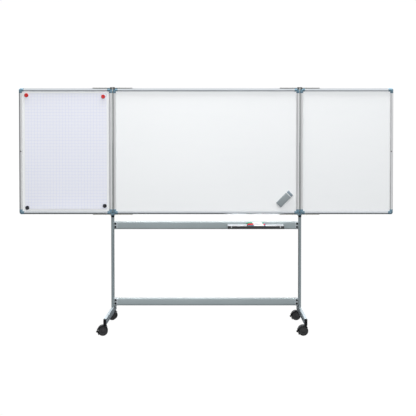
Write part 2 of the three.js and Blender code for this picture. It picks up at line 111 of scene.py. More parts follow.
def make_world():
    world = bpy.data.worlds.new("studio")
    bpy.context.scene.world = world
    world.use_nodes = True
    nodes, links = world.node_tree.nodes, world.node_tree.links
    nodes.clear()
    place = nodes.new("ShaderNodeTexCoord")
    toward = nodes.new("ShaderNodeVectorMath")
    toward.operation = "DOT_PRODUCT"
    toward.inputs[1].default_value = SKY_SIDE
    ramp = nodes.new("ShaderNodeValToRGB")
    height = set_inputs(nodes.new("ShaderNodeMapRange"), From_Min=-1.0)
    for stop, (position, color) in zip(ramp.color_ramp.elements, SKY_STOPS):
        stop.position, stop.color = position, color
    lit = set_inputs(nodes.new("ShaderNodeBackground"), Strength=SKY_STRENGTH)
    seen = set_inputs(nodes.new("ShaderNodeBackground"), Color=(1, 1, 1, 1), Strength=WHITE)
    ray = nodes.new("ShaderNodeLightPath")
    mix = nodes.new("ShaderNodeMixShader")
    out = nodes.new("ShaderNodeOutputWorld")
    links.new(place.outputs["Generated"], toward.inputs[0])
    links.new(toward.outputs["Value"], height.inputs["Value"])
    links.new(height.outputs["Result"], ramp.inputs["Fac"])
    split = nodes.new("ShaderNodeSeparateXYZ")
    links.new(place.outputs["Generated"], split.inputs[0])
    behind = nodes.new("ShaderNodeMath")
    behind.operation = "MULTIPLY"
    for socket, (axis, low, high) in zip(behind.inputs, BACKDROP_SPAN):
        fade = set_inputs(nodes.new("ShaderNodeMapRange"), From_Min=low, From_Max=high)
        links.new(split.outputs[axis], fade.inputs["Value"])
        links.new(fade.outputs["Result"], socket)
    backdrop = nodes.new("ShaderNodeMix")
    backdrop.data_type = "RGBA"
    backdrop.inputs["B"].default_value = BACKDROP_COLOR
    links.new(behind.outputs[0], backdrop.inputs["Factor"])
    links.new(ramp.outputs["Color"], backdrop.inputs["A"])
    links.new(backdrop.outputs["Result"], lit.inputs["Color"])
    links.new(ray.outputs["Is Camera Ray"], mix.inputs["Fac"])
    links.new(lit.outputs[0], mix.inputs[1])
    links.new(seen.outputs[0], mix.inputs[2])
    links.new(mix.outputs[0], out.inputs["Surface"])


def make_floor():
    """A floor that glows plain white and neither shades nor lights the object."""
    mesh = bpy.data.meshes.new("floor")
    reach = FLOOR_REACH
    corners = [(-reach, -reach, 0), (reach, -reach, 0), (reach, reach, 0), (-reach, reach, 0)]
    mesh.from_pydata(corners, [], [(0, 1, 2, 3)])
    floor = bpy.data.objects.new("floor", mesh)
    bpy.context.scene.collection.objects.link(floor)
    material = bpy.data.materials.new("pale_floor")
    material.use_nodes = True
    shader = set_inputs(material.node_tree.nodes["Principled BSDF"], Base_Color=(0, 0, 0, 1), Roughness=1.0)
    set_inputs(shader, Specular_IOR_Level=0.0, Emission_Color=(1, 1, 1, 1), Emission_Strength=WHITE)
    mesh.materials.append(material)
    floor.visible_diffuse = False
    floor.visible_glossy = False


def make_studio():
    make_camera()
    make_world()
    make_floor()
    for name, light in LIGHTS.items():
        area_light(name, *light)
    bpy.context.scene.view_settings.view_transform = "Standard"


# ---- materials
class Look:
    """One procedural material: a base colour with mottling and grain, its roughness and its bumps."""

    def __init__(self, name, color, roughness, metallic=0.0):
        self.material = bpy.data.materials.new(name)
        self.material.use_nodes = True
        self.material.diffuse_color = (*color, 1)
        self.nodes = self.material.node_tree.nodes
        self.links = self.material.node_tree.links
        self.shader = set_inputs(self.nodes["Principled BSDF"], Metallic=metallic, Roughness=roughness)
        self.place = self.nodes.new("ShaderNodeTexCoord").outputs["Object"]
        self.color = self.nodes.new("ShaderNodeRGB").outputs[0]
        self.color.default_value = (*color, 1)
        self.bump = None
        self.links.new(self.color, self.shader.inputs["Base Color"])

    def set(self, **values):
        set_inputs(self.shader, **values)
        return self

    def noise(self, scale, detail=3.0, stretch=(1, 1, 1), roughness=0.5):
        mapping = set_inputs(self.nodes.new("ShaderNodeMapping"), Scale=stretch)
        self.links.new(self.place, mapping.inputs["Vector"])
        noise = self.nodes.new("ShaderNodeTexNoise")
        set_inputs(noise, Scale=scale, Detail=detail, Roughness=roughness)
        self.links.new(mapping.outputs[0], noise.inputs["Vector"])
        return noise.outputs["Fac"]

    def spread(self, value, low, high, start=0.3, end=0.7):
        """Maps a noise value to the range low to high."""
        node = self.nodes.new("ShaderNodeMapRange")
        set_inputs(node, From_Min=start, From_Max=end, To_Min=low, To_Max=high)
        self.links.new(value, node.inputs["Value"])
        return node.outputs["Result"]

    def tint(self, value, color):
        """Mixes the colour so far towards another by a 0 to 1 value."""
        mix = self.nodes.new("ShaderNodeMix")
        mix.data_type = "RGBA"
        self.links.new(value, mix.inputs["Factor"])
        self.links.new(self.color, mix.inputs["A"])
        mix.inputs["B"].default_value = (*color, 1)
        self.color = mix.outputs["Result"]
        self.links.new(self.color, self.shader.inputs["Base Color"])
        return self

    def compute(self, operation, first, second):
        """A math node on a socket and either another socket or a number."""
        node = self.nodes.new("ShaderNodeMath")
        node.operation = operation
        self.links.new(first, node.inputs[0])
        if isinstance(second, float):
            node.inputs[1].default_value = second
        else:
            self.links.new(second, node.inputs[1])
        return node.outputs[0]

    def mottle(self, scale, amount, color, **noise):
        return self.tint(self.spread(self.noise(scale, **noise), 0, amount), color)

    def rough(self, value, low, high):
        self.links.new(self.spread(value, low, high), self.shader.inputs["Roughness"])
        return self

    def dent(self, value, strength, distance):
        node = set_inputs(self.nodes.new("ShaderNodeBump"), Strength=strength, Distance=distance)
        self.links.new(value, node.inputs["Height"])
        if self.bump:
            self.links.new(self.bump, node.inputs["Normal"])
        self.bump = node.outputs[0]
        self.links.new(self.bump, self.shader.inputs["Normal"])
        return self


DRAWN_OUT = 0.012  # noise scale along a drawn metal's lines, against 1 across them


def brushed(name, color, roughness, along, metallic=1.0):
    """Anodised or plated metal with fine drawing lines along one axis, 0 to 2."""
    look = Look(name, color, roughness, metallic)
    stretch = [1.0, 1.0, 1.0]
    stretch[along] = DRAWN_OUT
    lines = look.noise(900, detail=4, stretch=stretch)
    broad = look.noise(60, detail=2, stretch=stretch)
    dark = [c * 0.80 for c in color]
    look.tint(look.spread(lines, 0, 0.5), dark)
    look.tint(look.spread(broad, 0, 0.3), [min(1, c * 1.08) for c in color])
    look.rough(lines, roughness - 0.07, roughness + 0.1)
    look.dent(lines, 0.12, 0.00015)
    return look.material


def moulded(name, color, roughness, grain=1400, depth=0.12, gloss=0.5):
    """Moulded plastic with a fine spark-eroded grain and faint flow marks."""
    look = Look(name, color, roughness)
    fine = look.noise(grain, detail=2)
    look.mottle(14, 0.35, [min(1, c * 1.25 + 0.004) for c in color], detail=4)
    look.rough(look.noise(90, detail=3), roughness - 0.08, roughness + 0.08)
    look.dent(fine, depth, 0.0002)
    look.set(Specular_IOR_Level=gloss)
    return look.material


def coated(name, color, roughness, metallic=0.0):
    """Powder-coated steel: a soft orange-peel skin, a little sparkle and slight handling marks."""
    look = Look(name, color, roughness, metallic)
    look.mottle(2600, 0.35, [min(1, c * 1.35) for c in color], detail=1)
    look.mottle(5, 0.25, [c * 0.90 for c in color], detail=5)
    look.rough(look.noise(22, detail=4), roughness - 0.05, roughness + 0.09)
    look.dent(look.noise(420, detail=2), 0.10, 0.0003)
    look.set(Coat_Weight=0.25, Coat_Roughness=0.22)
    return look.material


def enamel():
    """The writing faces: white enamelled steel, glossy, with faint wipe marks."""
    white = (0.865, 0.872, 0.868)
    look = Look("white_enamel", white, 0.16)
    look.mottle(1.1, 0.5, (0.845, 0.853, 0.852), detail=2)
    wipes = look.noise(3.0, detail=5, stretch=(1.0, 1.0, 5.0))
    look.tint(look.spread(wipes, 0, 0.25, 0.5, 0.75), (0.83, 0.84, 0.845))
    look.rough(wipes, 0.12, 0.22)
    look.dent(look.noise(160, detail=1), 0.03, 0.0002)
    look.set(Coat_Weight=0.3, Coat_Roughness=0.06)
    return look.material


def line_grid(look, origin, pitch, width, strength):
    """Printed ruling in X and Z: 1 on a line, 0 between, softened over the line's edge."""
    split = look.nodes.new("ShaderNodeSeparateXYZ")
    look.links.new(look.place, split.inputs[0])
    lines = []
    for axis, start in (("X", origin[0]), ("Z", origin[1])):
        shift = look.compute("SUBTRACT", split.outputs[axis], start - pitch * 1000)  # kept positive
        fold = look.compute("PINGPONG", shift, pitch / 2)
        lines.append(look.spread(fold, strength, 0, width * 0.35, width * 0.65))
    return look.compute("MAXIMUM", *lines)


RULE_PITCH = 25 * MM
RULE_WIDTH = 1.3 * MM
RULE_STRENGTH = 0.55


def ruled_paper(origin):
    look = Look("ruled_paper", (0.80, 0.805, 0.86), 0.75)
    look.mottle(30, 0.3, (0.77, 0.775, 0.835), detail=5)
    look.tint(line_grid(look, origin, RULE_PITCH, RULE_WIDTH, RULE_STRENGTH), (0.45, 0.50, 0.78))
    look.dent(look.noise(700, detail=4), 0.15, 0.0001)
    look.dent(look.noise(2.4, detail=2), 0.25, 0.004)
    look.set(Specular_IOR_Level=0.25)
    return look.material


def felt(name, color):
    look = Look(name, color, 0.95)
    fibres = look.noise(900, detail=6, roughness=0.7)
    look.tint(look.spread(fibres, 0, 0.7), [c * 0.6 for c in color])
    look.dent(fibres, 0.8, 0.0006)
    look.set(Sheen_Weight=0.4, Sheen_Roughness=0.5, Specular_IOR_Level=0.1)
    return look.material


PEN_COLORS = {
    "pen_green": (0.008, 0.23, 0.14),
    # The front black marker's cap and plug are a lighter, bluer grey than black: painted light.
    "pen_black_painted_light": (0.07, 0.105, 0.15),
    "pen_red": (0.55, 0.02, 0.02),
    "pen_blue": (0.06, 0.13, 0.34),
    "pen_black": (0.014, 0.014, 0.016),
}


def make_materials():
    return {
        "enamel": enamel(),
        # The frame's one aluminium comes in two tints, bluish on the rails and warmer on the stiles: painted
        # light for how each is lit.
        "rail_x": brushed("anodised_rail_x", (0.91, 0.94, 0.96), 0.34, 0),
        "rail_z": brushed("anodised_rail_z", (0.91, 0.905, 0.89), 0.34, 2),
        "corner": moulded("corner_plastic", (0.118, 0.195, 0.245), 0.42),
        "plate": brushed("zinc_plate", (0.62, 0.60, 0.55), 0.38, 0),
        "black": moulded("black_plastic", (0.005, 0.005, 0.006), 0.50, gloss=0.2),
        "pivot": moulded("pivot_plastic", (0.012, 0.012, 0.013), 0.34),
        "bolt": moulded("black_bolt", (0.003, 0.003, 0.003), 0.60, gloss=0.1),
        # One powder coating in four tones, the posts darkest and the crossbars and feet lighter: painted
        # shade and painted light for how each part is lit. The sleeves are lighter still.
        "stand": coated("stand_coat", (0.235, 0.275, 0.285), 0.36, 0.25),
        "bar": coated("crossbar_coat", (0.345, 0.392, 0.400), 0.40, 0.2),
        "sleeve": coated("sleeve_coat", (0.42, 0.46, 0.48), 0.34, 0.2),
        "foot": coated("foot_coat", (0.32, 0.365, 0.39), 0.30, 0.35),
        "tray": brushed("tray_aluminium", (0.80, 0.82, 0.84), 0.42, 0, metallic=0.5),
        "tray_edge": moulded("tray_edge_plastic", (0.028, 0.029, 0.030), 0.42),
        "clip": moulded("clip_plastic", (0.36, 0.37, 0.37), 0.45),
        "hood": moulded("caster_hood_plastic", (0.026, 0.026, 0.027), 0.50, gloss=0.2),
        "wheel": moulded("caster_wheel_plastic", (0.034, 0.034, 0.035), 0.48, gloss=0.3),
        "tyre": moulded("caster_tyre", (0.010, 0.010, 0.010), 0.62, grain=700, depth=0.3),
        "seal": moulded("seal_rubber", (0.34, 0.37, 0.36), 0.7),
        "steel_pin": brushed("bright_pin", (0.55, 0.55, 0.54), 0.3, 1),
        "red": moulded("magnet_red", (0.46, 0.012, 0.012), 0.22, depth=0.03),
        "magnet_black": moulded("magnet_black", (0.012, 0.012, 0.016), 0.22, depth=0.03),
        "eraser": moulded("eraser_grey", (0.245, 0.275, 0.285), 0.5),
        "eraser_end": moulded("eraser_end", (0.215, 0.265, 0.300), 0.5),
        # A light grey band across the eraser near its end: a painted highlight on a slightly raised band.
        "eraser_highlight_band": moulded("eraser_highlight_band", (0.62, 0.65, 0.66), 0.45),
        "felt": felt("eraser_felt", (0.10, 0.105, 0.11)),
        "pen_white": moulded("pen_barrel", (0.52, 0.52, 0.53), 0.4, depth=0.03),
        **{pen: moulded(pen, color, 0.32, depth=0.03) for pen, color in PEN_COLORS.items()},
    }


# ---- mesh tools
SHARP_DEG = 38  # edges turning by more than this are kept sharp, or are bevelled


def link(name, mesh, look=None):
    obj = bpy.data.objects.new(name, mesh)
    bpy.context.scene.collection.objects.link(obj)
    if look:
        mesh.materials.append(LOOKS[look])
    return obj


def finish_mesh(name, bm, look, smooth=SHARP_DEG):
    """Closes up a bmesh into an object: merged, faces out, smooth but for edges past the angle."""
    bmesh.ops.remove_doubles(bm, verts=bm.verts, dist=1e-6)
    bmesh.ops.dissolve_degenerate(bm, edges=bm.edges, dist=1e-6)
    bmesh.ops.recalc_face_normals(bm, faces=bm.faces)
    mesh = bpy.data.meshes.new(name)
    bm.to_mesh(mesh)
    bm.free()
    obj = link(name, mesh, look)
    soften(obj, smooth)
    return obj


def soften(obj, angle):
    obj.data.polygons.foreach_set("use_smooth", [True] * len(obj.data.polygons))
    obj.data.set_sharp_from_angle(angle=math.radians(angle))


def round_edges(obj, width, segments=3, angle=SHARP_DEG):
    modifier = obj.modifiers.new("rounded_edges", "BEVEL")
    modifier.width = width
    modifier.segments = segments
    modifier.limit_method = "ANGLE"
    modifier.angle_limit = math.radians(angle)
    return bake(obj)


def bake(obj, smooth=SHARP_DEG):
    """Applies the object's modifiers to its mesh."""
    graph = bpy.context.evaluated_depsgraph_get()
    mesh = bpy.data.meshes.new_from_object(obj.evaluated_get(graph))
    obj.modifiers.clear()
    obj.data = mesh
    soften(obj, smooth)
    return obj


def combine(obj, operation, *others):
    """Joins other solids to an object, or cuts them from it."""
    for other in others:
        modifier = obj.modifiers.new("solid", "BOOLEAN")
        modifier.operation = operation
        modifier.solver = "EXACT"
        modifier.object = other
        bpy.context.view_layer.update()
        bake(obj)
        bpy.data.objects.remove(other)
    return obj


def polar(centre, radius, degrees):
    angle = math.radians(degrees)
    return centre[0] + radius * math.cos(angle), centre[1] + radius * math.sin(angle)


def arc(centre, radius, start, end, steps):
    return [polar(centre, radius, start + (end - start) * i / steps) for i in range(steps + 1)]


def circle(centre, radius, sides=32):
    return arc(centre, radius, 0, 360 - 360 / sides, sides - 1)


def rectangle(a0, a1, b0, b1):
    return [(a0, b0), (a1, b0), (a1, b1), (a0, b1)]


def rounded_rectangle(a0, a1, b0, b1, radius, grow=0):
    """A rectangle that grows by so much on every side before its corners are rounded."""
    a0, a1, b0, b1 = a0 - grow, a1 + grow, b0 - grow, b1 + grow
    centres = [(a1 - radius, b1 - radius), (a0 + radius, b1 - radius)]
    centres += [(a0 + radius, b0 + radius), (a1 - radius, b0 + radius)]
    return [p for i, c in enumerate(centres) for p in arc(c, radius, 90 * i, 90 * i + 90, 5)]


def flat_oval(centre, width, height):
    radius, rise = width / 2, height / 2 - width / 2
    top = arc((centre[0], centre[1] + rise), radius, 0, 180, 16)
    return top + arc((centre[0], centre[1] - rise), radius, 180, 360, 16)


def join_rings(bm, low, high):
    """Faces between two rings of vertices; a ring of one vertex is a point on the axis."""
    count = max(len(low), len(high))
    for i in range(count):
        j = (i + 1) % count
        corners = (low[i % len(low)], low[j % len(low)], high[j % len(high)], high[i % len(high)])
        unique = list(dict.fromkeys(corners))
        if len(unique) > 2:
            bm.faces.new(unique)


# Where an outline's two coordinates and its depth go, for a prism along each axis.
TURN = {
    "X": lambda a, b, d: (d, a, b),
    "Y": lambda a, b, d: (a, d, b),
    "Z": lambda a, b, d: (a, b, d),
}


def prism(name, outline, axis, start, end, look=None, hole=None):
    """A closed prism; a hole is an outline with as many points as the outer one."""
    bm = bmesh.new()
    rings = []
    for points in [outline] + ([hole] if hole else []):
        for depth in (start, end):
            rings.append([bm.verts.new(TURN[axis](a, b, depth)) for a, b in points])
    for low, high in zip(rings[::2], rings[1::2]):
        join_rings(bm, low, high)
    for near, far in ((0, 2), (1, 3)):
        if hole:
            join_rings(bm, rings[near], rings[far])
        else:
            bm.faces.new(rings[near])
    return finish_mesh(name, bm, look)


def lathe(name, profile, segments, matrix, look=None, smooth=SHARP_DEG):
    """A solid turned about its local Z, from (radius, z) points that start and end on the axis."""
    bm = bmesh.new()
    turns = [2 * math.pi * i / segments for i in range(segments)]
    rings = []
    for radius, z in profile:
        if radius < 1e-9:
            places = [(0, 0, z)]
        else:
            places = [(radius * math.cos(t), radius * math.sin(t), z) for t in turns]
        rings.append([bm.verts.new(matrix @ Vector(place)) for place in places])
    for low, high in zip(rings, rings[1:]):
        join_rings(bm, low, high)
    return finish_mesh(name, bm, look, smooth)


def facing_front(place):
    """A frame at a place whose Z points out of the writing side."""
    return Matrix.Translation(place) @ Matrix.Rotation(math.pi / 2, 4, "X")


def rounded_box(name, low, high, radius, look, segments=3):
    """A block with rounded edges."""
    outline = rectangle(low[0], high[0], low[1], high[1])
    obj = prism(name, outline, "Z", low[2], high[2], look)
    return round_edges(obj, radius, segments)


def settle(obj, slot, *nodes, body="stand"):
    """Puts a finished piece on its body and hides the CAD nodes it stands for; the finish passed as slot is
    not used.
    """
    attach(obj, body)
    if nodes:
        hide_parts(*nodes)
    return obj


def middle(node):
    low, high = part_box(node)
    return (low + high) / 2


def stamp(name, source, matrices, look):
    """One piece made of a copy of the source at each matrix; the source is used up."""
    bm = bmesh.new()
    for matrix in matrices:
        mesh = source.data.copy()
        mesh.transform(matrix)
        bm.from_mesh(mesh)
        bpy.data.meshes.remove(mesh)
    bpy.data.objects.remove(source)
    return finish_mesh(name, bm, look)


LOOKS = make_materials()

# ---- boards
# Each board: the body it rides on and its sides with hinges.
BOARDS = {
    "centre": ("stand", ("left", "right")),
    "left_wing": ("left_wing", ("right",)),
    "right_wing": ("right_wing", ("left",)),
}
CROWN = 3.0 * MM  # how far the frame's face falls away towards the panel
CREST = 16 * MM  # where the frame's section is thickest
LIP_START = 21 * MM  # from here to the panel the face is flat
GROOVE_HALF = 2.8 * MM
GROOVE_FLOOR = 15.7 * MM
CORNER_LEG = 39 * MM
CORNER_ROUND = 16 * MM
CORNER_PROUD = 0.4 * MM
NOTCH = (19.2 * MM, 10.3 * MM)  # cut from a hinged corner in X and Z for the link's barrel
NOTCH_PAST = (2 * MM, 3 * MM)  # how far its cutter reaches beyond the edges and the faces
RAIL_LOW, RAIL_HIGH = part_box("centre_top_rail")
RAIL_FACE = RAIL_HIGH.z - RAIL_LOW.z
RAIL_HALF = (RAIL_HIGH.y - RAIL_LOW.y) / 2
BOARD_Y = (RAIL_HIGH.y + RAIL_LOW.y) / 2


def rail_profile(proud=0.0):
    """The frame's section: u inward from the outer edge, v through its thickness, alike front and back."""
    half, face = RAIL_HALF, RAIL_FACE
    side = [(CREST + CREST * u / half, v) for u, v in arc((0, 0), half, 180, 90, 14)]
    for i in range(1, 9):
        t = i / 8
        side.append((CREST + (LIP_START - CREST) * t, half - CROWN * t * t * (3 - 2 * t)))
    side += [(face, half - CROWN), (face, GROOVE_HALF), (GROOVE_FLOOR, GROOVE_HALF)]
    side = [(u - proud * (1 - u / face), v * (1 + proud / half) if v > GROOVE_HALF else v) for u, v in side]
    return side + [(u, -v) for u, v in reversed(side[1:])]


def make_rail(board, body, name, edge):
    node = f"{board}_{name}"
    low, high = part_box(node)
    profile = rail_profile()
    inward = {
        "top": lambda u: high.z - u,
        "bottom": lambda u: low.z + u,
        "left": lambda u: low.x + u,
        "right": lambda u: high.x - u,
    }[edge]
    if edge in ("top", "bottom"):
        outline = [(BOARD_Y + v, inward(u)) for u, v in profile]
        rail = prism(f"{node}_profile", outline, "X", low.x, high.x, "rail_x")
    else:
        outline = [(inward(u), BOARD_Y + v) for u, v in profile]
        rail = prism(f"{node}_profile", outline, "Z", low.z, high.z, "rail_z")
    settle(rail, "frame_aluminium", node, body=body)


def make_corner(board, body, level, side, hinged):
    """An L swept round the board's corner: each section runs from an outer point to an inner one."""
    node = f"{board}_corner_{level}_{side}"
    low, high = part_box(node)
    corner = Vector((low.x if side == "left" else high.x, BOARD_Y, low.z if level == "bottom" else high.z))
    sx = 1 if side == "left" else -1
    sz = 1 if level == "bottom" else -1
    leg, face, turn = CORNER_LEG, RAIL_FACE, CORNER_ROUND
    sections = [((leg, 0), (leg, face)), ((face, 0), (face, face))]
    sections += [(outer, (face, face)) for outer in arc((turn, turn), turn, 270, 180, 14)]
    sections += [((0, face), (face, face)), ((0, leg), (face, leg))]
    profile = rail_profile(CORNER_PROUD)
    bm = bmesh.new()
    rings = []
    for outer, inner in sections:
        ring = []
        for u, v in profile:
            a = outer[0] + (inner[0] - outer[0]) * u / face
            b = outer[1] + (inner[1] - outer[1]) * u / face
            ring.append(bm.verts.new(corner + Vector((sx * a, v, sz * b))))
        rings.append(ring)
    for first, second in zip(rings, rings[1:]):
        join_rings(bm, first, second)
    bm.faces.new(rings[0])
    bm.faces.new(rings[-1])
    piece = finish_mesh(f"{node}_cap", bm, "corner")
    if hinged:
        xs = sorted((corner.x - sx * NOTCH_PAST[0], corner.x + sx * NOTCH[0]))
        zs = sorted((corner.z - sz * NOTCH_PAST[0], corner.z + sz * NOTCH[1]))
        reach = RAIL_HALF + NOTCH_PAST[1]
        cutter = prism("cutter", rectangle(*xs, *zs), "Y", BOARD_Y - reach, BOARD_Y + reach)
        pivot = (corner.x + sx * PIVOT_INSET, BOARD_Y)
        depth = sorted((corner.z, corner.z + sz * (PIN_END + MM)))
        bore = prism("bore", circle(pivot, PIN_BORE), "Z", depth[0], depth[1])
        combine(piece, "DIFFERENCE", cutter, bore)
    round_edges(piece, 0.7 * MM, 2, 45)
    settle(piece, "corner_plastic", node, body=body)


# ---- hinges
PIVOT_INSET = 10 * MM
PIN_RADIUS = 3 * MM
PIN_BORE = 3.4 * MM
PIN_END = 17 * MM
PLATE_HALF = 7 * MM
PLATE_GAP = 0.3 * MM
PLATE_THICK = 4 * MM
LINK_BARE_HALF = 3.5 * MM  # half width of the bare steel between the link's two pivots
BARREL_RADIUS = 8 * MM
LINK_CAP = 4 * MM  # thickness of the link's cap
BRIDGE_HALF = 5 * MM  # half widths of the link's bridge and web
WEB_HALF_X = 3 * MM
PLATE_SCREWS = (0.30, 0.62, 0.92)  # places along the plate from its eye


def make_hinge_plate(board, body, level, side):
    """A flat steel bar along the board's edge with a round eye, a pin under the eye and three screws."""
    node = f"{board}_hinge_plate_{level}_{side}"
    low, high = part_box(node)
    out = 1 if level == "top" else -1
    edge = high.z - PLATE_GAP - PLATE_THICK if out > 0 else low.z + PLATE_GAP + PLATE_THICK
    away = 1 if side == "left" else -1  # from the pivot towards the far end
    eye_x = (low.x if away > 0 else high.x) + away * PLATE_HALF
    end_x = high.x if away > 0 else low.x
    outline = [(eye_x + away * x, BOARD_Y + y) for x, y in arc((0, 0), PLATE_HALF, 90, 270, 20)]
    outline += [(end_x, BOARD_Y - PLATE_HALF), (end_x, BOARD_Y + PLATE_HALF)]
    inner, outer = edge + out * PLATE_GAP, edge + out * (PLATE_GAP + PLATE_THICK)
    plate = prism(f"{node}_bar", outline, "Z", min(inner, outer), max(inner, outer), "plate")
    round_edges(plate, 0.5 * MM, 2)
    tip = edge - out * PIN_END
    start = inner + out * MM
    pin = prism("pin", circle((eye_x, BOARD_Y), PIN_RADIUS), "Z", min(tip, start), max(tip, start))
    combine(plate, "UNION", pin)
    settle(plate, "hinge_steel", node, body=body)
    head = pan_head("screw", 3.6 * MM, 1.6 * MM)
    face = Matrix.Diagonal((1, 1, out, 1))
    xs = [eye_x + (end_x - eye_x) * s for s in PLATE_SCREWS]
    places = [Matrix.Translation((screw_x, BOARD_Y, outer)) @ face for screw_x in xs]
    screws = stamp(f"{node}_screws", head, places, "steel_pin")
    settle(screws, "hinge_steel", body=body)


def pan_head(name, radius, height):
    """A low domed screw head with a cross recess, standing on Z = 0."""
    dome = [(radius * math.cos(t), height * math.sin(t)) for t in [math.pi / 2 * i / 6 for i in range(7)]]
    profile = [(0, 0), (radius * 0.98, 0)] + dome[1:-1] + [(0, height)]
    head = lathe(name, profile, 24, Matrix.Identity(4))
    cut = radius * 0.62
    thin = radius * 0.14
    for a, b in ((cut, thin), (thin, cut)):
        slot = prism("slot", rectangle(-a, a, -b, b), "Z", height * 0.35, height * 2)
        combine(head, "DIFFERENCE", slot)
    return head


def make_link(side, level):
    """Two barrels in the corners' notches and a cap over the plates' eyes, with a web between the eyes."""
    node = f"{side}_link_{level}"
    low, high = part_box(node)
    out = 1 if level == "top" else -1
    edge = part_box("centre_top_rail")[1].z if out > 0 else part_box("centre_bottom_rail")[0].z
    x = (low.x + high.x) / 2
    reach = (high.x - low.x) / 2 - BARREL_RADIUS
    capped = high.z - edge if out > 0 else edge - low.z
    notch = NOTCH[1] - PLATE_GAP

    def flat(name, outline, a, b):
        ends = sorted((edge + out * a, edge + out * b))
        return prism(name, [(x + px, BOARD_Y + py) for px, py in outline], "Z", *ends)

    bare = LINK_BARE_HALF
    cap_outline = (
        arc((-reach, 0), BARREL_RADIUS, 90, 270, 24)
        + [(-bare, -BARREL_RADIUS), (bare, -BARREL_RADIUS)]
        + arc((reach, 0), BARREL_RADIUS, -90, 90, 24)
        + [(bare, BARREL_RADIUS), (-bare, BARREL_RADIUS)]
    )
    link_piece = flat(f"{node}_black", cap_outline, capped - LINK_CAP, capped)
    link_piece.data.materials.append(LOOKS["pivot" if out > 0 else "corner"])
    barrels = [flat("barrel", circle((s * reach, 0), BARREL_RADIUS, 48), -notch, 0) for s in (-1, 1)]
    w, t = BRIDGE_HALF, WEB_HALF_X
    bridge = flat("bridge", rectangle(-reach, reach, -w, w), -notch, -0.2 * MM)
    web = flat("web", rectangle(-t, t, MM - w, w - MM), -2 * MM, capped - 2 * MM)
    combine(link_piece, "UNION", *barrels, bridge, web)
    bores = [flat("bore", circle((s * reach, 0), PIN_BORE), -notch - MM, MM) for s in (-1, 1)]
    combine(link_piece, "DIFFERENCE", *bores)
    round_edges(link_piece, 0.8 * MM, 3, 50)
    link_piece.data.materials.append(LOOKS["plate"])
    for face in link_piece.data.polygons:
        if out > 0 and abs(face.center.x - x) < bare and abs(face.normal.y) > 0.5:
            face.material_index = 1  # bare steel between the two black pivots
    settle(link_piece, "black_plastic", node, body=f"{side}_link")
    head = pan_head("rivet", 4.4 * MM, 1.0 * MM)
    face = Matrix.Diagonal((1, 1, out, 1))
    spots = [Matrix.Translation((x + s * reach, BOARD_Y, edge + out * capped)) @ face for s in (-1, 1)]
    rivets = stamp(f"{node}_rivets", head, spots, "black")
    settle(rivets, "black_plastic", body=f"{side}_link")


def make_boards():
    for board, (body, hinges) in BOARDS.items():
        panel_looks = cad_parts[f"{board}_panel"].data.materials
        panel_looks.clear()
        panel_looks.append(LOOKS["enamel"])
        for name, edge in (("top_rail", "top"), ("bottom_rail", "bottom")):
            make_rail(board, body, name, edge)
        for side in SIDES:
            make_rail(board, body, f"{side}_stile", side)
            for level in ("top", "bottom"):
                make_corner(board, body, level, side, side in hinges)
                if side in hinges:
                    make_hinge_plate(board, body, level, side)
    for side in SIDES:
        for level in ("top", "bottom"):
            make_link(side, level)


# ---- stand
TUBE_WALL = 1.5 * MM
POST_DEPTH = 50 * MM
CARRIER_SPAN = (950 * MM, 1440 * MM)
CARRIER_BACK_Y = 150 * MM
CARRIER_THICK = 3 * MM
CARRIER_SUNK = 0.7 * MM  # how deep the angle lies in the post's side
CARRIER_SCREWS = (0.08, 0.5, 0.92)  # places along the angle
COLLAR_SPAN = (863 * MM, 878 * MM)
COLLAR_PROUD = 0.9 * MM
COLLAR_GAP = 0.15 * MM
PLUG_PROUD = 0.4 * MM
PLUG_SPAN = (0.2 * MM, 5 * MM)  # above the post's top
STEM_HOLE = 5.4 * MM
CAP_PROUD = 0.8 * MM
CAP_SPAN = (0.2 * MM, 5 * MM)  # beyond the beam's end
CAP_PLUG = 14 * MM  # how deep the cap's plug reaches into the beam


def tube_outlines(a0, a1, b0, b1, radius):
    w = TUBE_WALL
    return (
        rounded_rectangle(a0, a1, b0, b1, radius),
        rounded_rectangle(a0, a1, b0, b1, radius - w, -w),
    )


